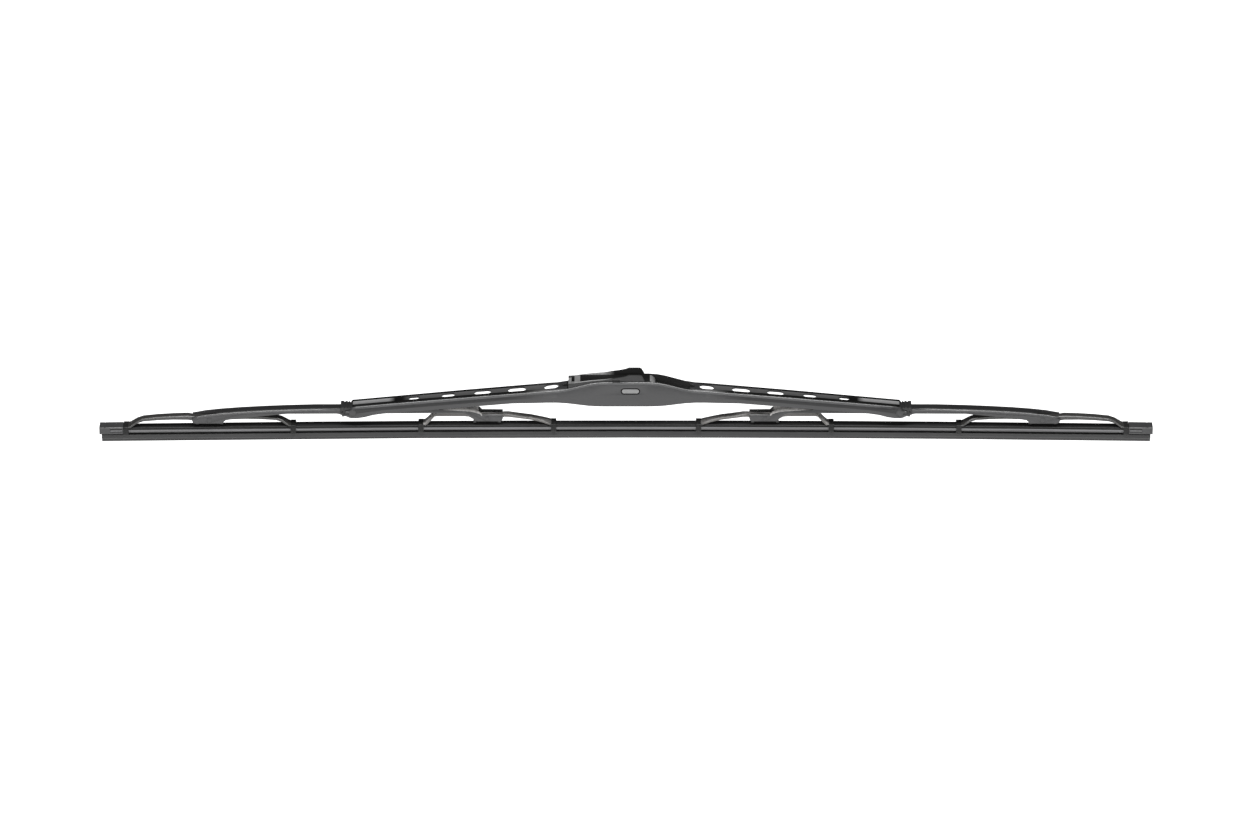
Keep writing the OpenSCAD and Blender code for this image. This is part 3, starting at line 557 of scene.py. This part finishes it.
def leverZone(low, high, look):
    # a painted highlight on the lever's top beside the inner yoke, painted shade on the rest of its top
    onHighlight = leverFaces["highlightFrom"] < fromMidLength(low, high) < leverFaces["highlightTo"]
    if onHighlight and look.z > leverFaces["highlightUp"]:
        return "leverTop"
    return "backCoat" if look.z > leverFaces["backUp"] else None


# claw is how far above the strip's top the claws' painted shade reaches
yokeFaces = {"claw": 1.1, "up": 0.6}


def stripTop(x):
    # height of the strip's top along its bow, in millimetres
    return bow["top"] - bow["drop"] * (x / bow["reach"]) ** 2


def yokeZone(low, high, look):
    return "clawCoat" if high.z < stripTop((low.x + high.x) / 2) + yokeFaces["claw"] else None


def innerYokeZone(low, high, look):
    # the claws get painted shade, the upward faces a painted highlight
    return yokeZone(low, high, look) or ("innerYokeTop" if look.z > yokeFaces["up"] else None)


zones = {"primary_bridge": bridgeZone, "arm_adapter": adapterZone,
         "lever_left": leverZone, "lever_right": leverZone,
         "yoke_outer_left": yokeZone, "yoke_outer_right": yokeZone,
         "yoke_inner_left": innerYokeZone, "yoke_inner_right": innerYokeZone}


def paintZones(piece, zone, coats):
    places = {}
    for face in piece.data.polygons:
        corners = [piece.data.vertices[i].co / mm for i in face.vertices]
        low = Vector([min(c[axis] for c in corners) for axis in range(3)])
        high = Vector([max(c[axis] for c in corners) for axis in range(3)])
        name = zone(low, high, face.normal)
        if name:
            if name not in places:
                piece.data.materials.append(coats[name])
                places[name] = len(piece.data.materials) - 1
            face.material_index = places[name]


# the stretch of the rear cheek's inner side above the core that gets a painted highlight
litCheekStretch = {"from": -26.0, "to": -6.5, "outside": 4.0, "inwards": 0.9}


def paintCheekHighlight(adapter):
    selectOnly(adapter)
    bpy.ops.object.mode_set(mode="EDIT")
    for end in ("from", "to"):
        cutAt(litCheekStretch[end])
    bpy.ops.object.mode_set(mode="OBJECT")
    rim = adapter.data.materials.find("adapterRim")
    for face in adapter.data.polygons:
        middle = face.center / mm
        onCheek = face.normal.y < -litCheekStretch["inwards"] and middle.y > litCheekStretch["outside"]
        if onCheek and middle.z > 0 and litCheekStretch["from"] < middle.x < litCheekStretch["to"]:
            face.material_index = rim


def dressRigidPieces(materials):
    for node, look in pieces.items():
        piece = mergedCopy(node, look["name"])
        setMaterial(piece, materials[look["finish"]])
        if node in zones:
            paintZones(piece, zones[node], materials)
        finishEdges(piece, look["bevel"], look["smooth"])
        if node == "arm_adapter":
            paintCheekHighlight(piece)
        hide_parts(node)
        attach(piece, look["body"])
    print("rigid pieces dressed:", len(pieces))


# rubber strip and rails, in millimetres

strip = {
    "step": 3.0,  # spacing of the cross cuts where the strip bends
    "calmStep": 20.0,  # and where it rides on one yoke
    "middle": 0.0,
    "leverNear": 24.0,
    "clawNear": 40.0,  # inside the inner yoke's near claw
    "clawFar": 121.5,
    "leverFar": 156.5,
    "clawNext": 191.0,
    "end": 310.0,
    "smooth": 35,  # degrees
}
# each stretch: name, from, to, body at its start, body at its end
stretches = [
    ("Middle", "middle", "leverNear", "bridge", "lever"),
    ("Near", "leverNear", "clawNear", "lever", "yoke_inner"),
    ("Inner", "clawNear", "clawFar", "yoke_inner", "yoke_inner"),
    ("Between", "clawFar", "leverFar", "yoke_inner", "lever"),
    ("Beyond", "leverFar", "clawNext", "lever", "yoke_outer"),
    ("Outer", "clawNext", "end", "yoke_outer", "yoke_outer"),
]


def stripPiece(source, name, low, high, step):
    piece = bpy.data.objects.new(name, source.data.copy())
    bpy.context.collection.objects.link(piece)
    selectOnly(piece)
    bpy.ops.object.mode_set(mode="EDIT")
    if abs(low) < strip["end"]:
        cutAt(low, "above")
    if abs(high) < strip["end"]:
        cutAt(high, "below")
    count = int((high - low) / step)
    for i in range(1, count):
        cutAt(low + (high - low) * i / count)
    bpy.ops.mesh.select_all(action="SELECT")
    bpy.ops.mesh.normals_make_consistent(inside=False)
    bpy.ops.object.mode_set(mode="OBJECT")
    bpy.ops.object.shade_smooth_by_angle(angle=math.radians(strip["smooth"]))
    return piece


def makeStrip(source, label, material, nodes):
    for side, sign in (("Left", -1), ("Right", 1)):
        for title, first, last, firstBody, lastBody in stretches:
            low, high = sorted((sign * strip[first], sign * strip[last]))
            calm = firstBody == lastBody
            step = strip["calmStep" if calm else "step"]
            piece = stripPiece(source, label + title + side, low, high, step)
            setMaterial(piece, material)
            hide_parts(*nodes)
            bodies = [b if b == "bridge" else f"{b}_{side.lower()}" for b in (firstBody, lastBody)]
            if calm:
                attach(piece, bodies[0])
            else:
                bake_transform(piece)
    print(label, "in", 2 * len(stretches), "stretches")


# the chamfers along the head: how far out their upper and lower edges lie, how deep they are,
# and how far their edges are rolled over
head = {"topEdge": 3.15, "sideEdge": 3.55, "chamfer": 0.4, "roll": 0.2, "rollSteps": 3,
        "slackUp": 0.05, "slackAcross": 0.03, "longEdge": 5.0}


def onHead(vertex):
    height = vertex.co.z / mm - stripTop(vertex.co.x / mm)
    across = abs(vertex.co.y) / mm
    return any(abs(height + depth) < head["slackUp"] and abs(across - edge) < head["slackAcross"]
               for depth, edge in ((0, head["topEdge"]), (head["chamfer"], head["sideEdge"])))


def roundHead(rubber):
    selectOnly(rubber)
    bpy.ops.object.mode_set(mode="EDIT")
    bpy.ops.mesh.select_all(action="DESELECT")
    bpy.ops.mesh.select_mode(type="EDGE")
    bpy.ops.object.mode_set(mode="OBJECT")
    for edge in rubber.data.edges:
        first, last = (rubber.data.vertices[i] for i in edge.vertices)
        isLong = abs(first.co.x - last.co.x) > head["longEdge"] * mm
        edge.select = isLong and onHead(first) and onHead(last)
    bpy.ops.object.mode_set(mode="EDIT")
    bpy.ops.mesh.bevel(offset=head["roll"] * mm, segments=head["rollSteps"], affect="EDGES")
    bpy.ops.object.mode_set(mode="OBJECT")


def dressStrip(materials):
    rubber = mergedCopy("rubber_element", "rubberSource")
    roundHead(rubber)
    makeStrip(rubber, "rubber", materials["stripRubber"], ["rubber_element"])
    rails = mergedCopy("rail_front", "railSource")
    rear = mergedCopy("rail_rear", "railRearSource")
    selectOnly(rails)
    rear.select_set(True)
    bpy.ops.object.join()
    makeStrip(rails, "rails", materials["rolledSteel"], ["rail_front", "rail_rear"])
    for source in (rubber, rails):
        bpy.data.objects.remove(source, do_unlink=True)


# floor, low enough for the blade to turn on its pin without meeting it

floor = {"size": 9.0, "below": 0.26, "colour": (0.86, 0.86, 0.86, 1), "roughness": 0.9,
         "specular": 0.1, "glow": 0.5, "glowColour": (1, 1, 1, 1)}


def addFloor():
    height = cadBox[0][2] - floor["below"]
    bpy.ops.mesh.primitive_plane_add(size=floor["size"], location=(0, 0, height))
    plane = bpy.context.active_object
    plane.name = "paleFloor"
    material, tree, shader = newMaterial("paleFloor")
    for label, key in (("Base Color", "colour"), ("Roughness", "roughness"),
                       ("Specular IOR Level", "specular"), ("Emission Color", "glowColour"),
                       ("Emission Strength", "glow")):
        feed(tree, shader.inputs[label], floor[key])
    plane.data.materials.append(material)
    print("floor laid")


addCamera()
addLights()
print("camera and lights set")
paintGroup = makePaintGroup()
materials = {name: makeCoat(name, paintGroup) for name in finishes}
materials["rolledSteel"] = makeRolledSteel()
print("materials made:", len(materials))
dressRigidPieces(materials)
dressStrip(materials)
addFloor()

bpy.context.view_layer.update()
